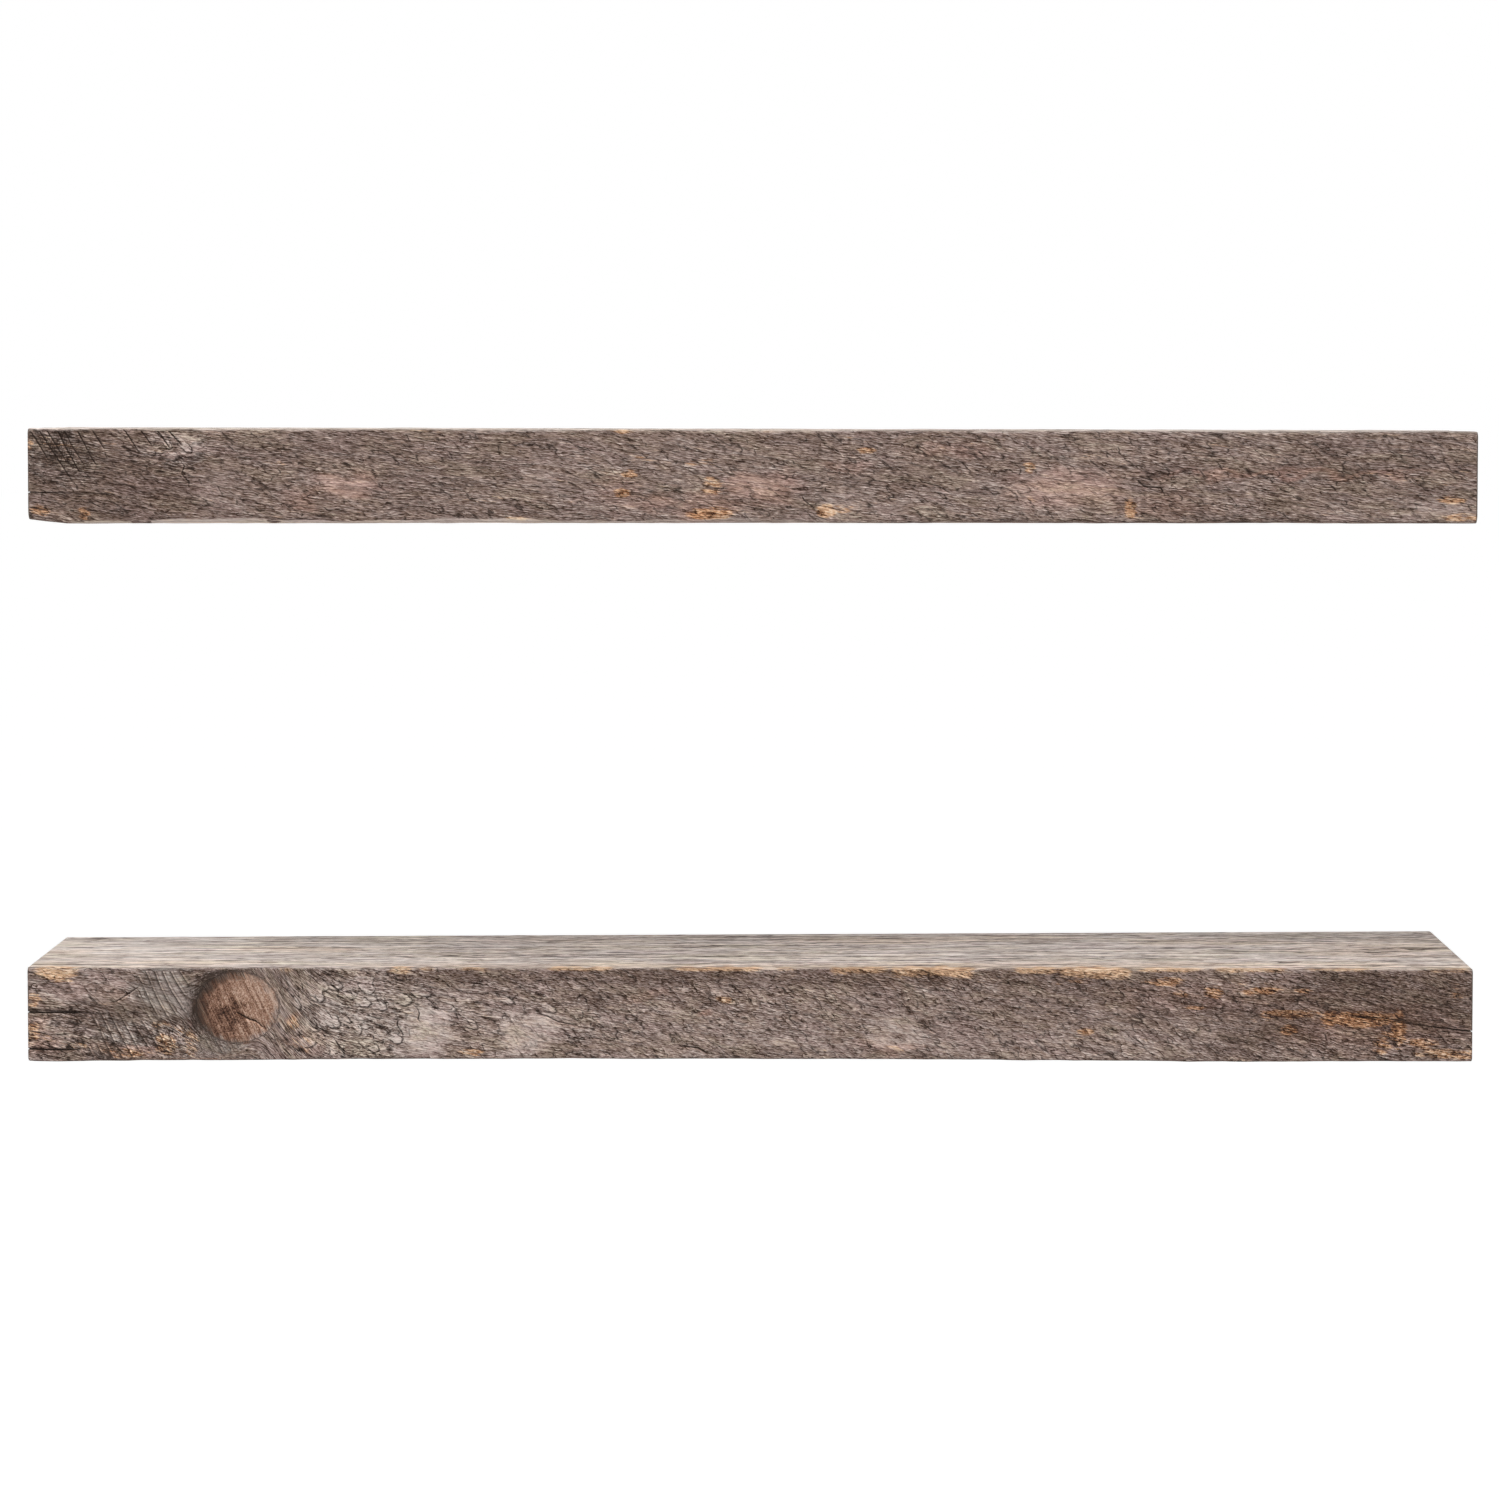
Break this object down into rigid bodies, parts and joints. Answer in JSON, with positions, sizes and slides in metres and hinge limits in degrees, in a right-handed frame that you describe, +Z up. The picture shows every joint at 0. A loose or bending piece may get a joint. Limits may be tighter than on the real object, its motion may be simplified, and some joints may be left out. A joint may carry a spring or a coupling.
{
  "type": "floating wall shelf",
  "caption": "Matching floating wall shelves: solid weathered timber boards, each slid on to a hidden steel bar and rods screwed to the wall.",
  "frame": {"origin": "middle of the lower bracket bar's back face, on the wall", "axes": "+X along the shelves, to the right as seen from the room; +Y into the wall; +Z up"},
  "size_m": [0.6123, 0.1841, 0.2685],
  "materials": {
    "weathered_timber": "weathered grey-brown softwood, bare, with worn tan arrises",
    "black_steel": "black powder coat",
    "zinc_steel": "yellowish zinc plating",
    "grey_nylon": "moulded nylon",
    "brass": "turned, bare"
  },
  "bodies": {
    "wall_brackets": {"lower_bracket_bar": "black_steel", "lower_rod_left": "black_steel", "lower_rod_centre": "black_steel", "lower_rod_right": "black_steel", "lower_wall_screw_1": "zinc_steel", "lower_wall_plug_1": "grey_nylon", "lower_wall_screw_2": "zinc_steel", "lower_wall_plug_2": "grey_nylon", "lower_wall_screw_3": "zinc_steel", "lower_wall_plug_3": "grey_nylon", "lower_wall_screw_4": "zinc_steel", "lower_wall_plug_4": "grey_nylon", "upper_bracket_bar": "black_steel", "upper_rod_left": "black_steel", "upper_rod_centre": "black_steel", "upper_rod_right": "black_steel", "upper_wall_screw_1": "zinc_steel", "upper_wall_plug_1": "grey_nylon", "upper_wall_screw_2": "zinc_steel", "upper_wall_plug_2": "grey_nylon", "upper_wall_screw_3": "zinc_steel", "upper_wall_plug_3": "grey_nylon", "upper_wall_screw_4": "zinc_steel", "upper_wall_plug_4": "grey_nylon"},
    "lower_shelf": {"lower_shelf_board": "weathered_timber", "lower_thread_insert_left": "brass", "lower_lock_screw_left": "zinc_steel", "lower_thread_insert_right": "brass", "lower_lock_screw_right": "zinc_steel"},
    "upper_shelf": {"upper_shelf_board": "weathered_timber", "upper_thread_insert_left": "brass", "upper_lock_screw_left": "zinc_steel", "upper_thread_insert_right": "brass", "upper_lock_screw_right": "zinc_steel"}
  },
  "joints": [
    {"name": "lower_shelf_slide", "type": "slide", "parent": "wall_brackets", "child": "lower_shelf", "axis": [0, -1, 0], "range_m": [0, 0.115]},
    {"name": "upper_shelf_slide", "type": "slide", "parent": "wall_brackets", "child": "upper_shelf", "axis": [0, -1, 0], "range_m": [0, 0.115]}
  ]
}
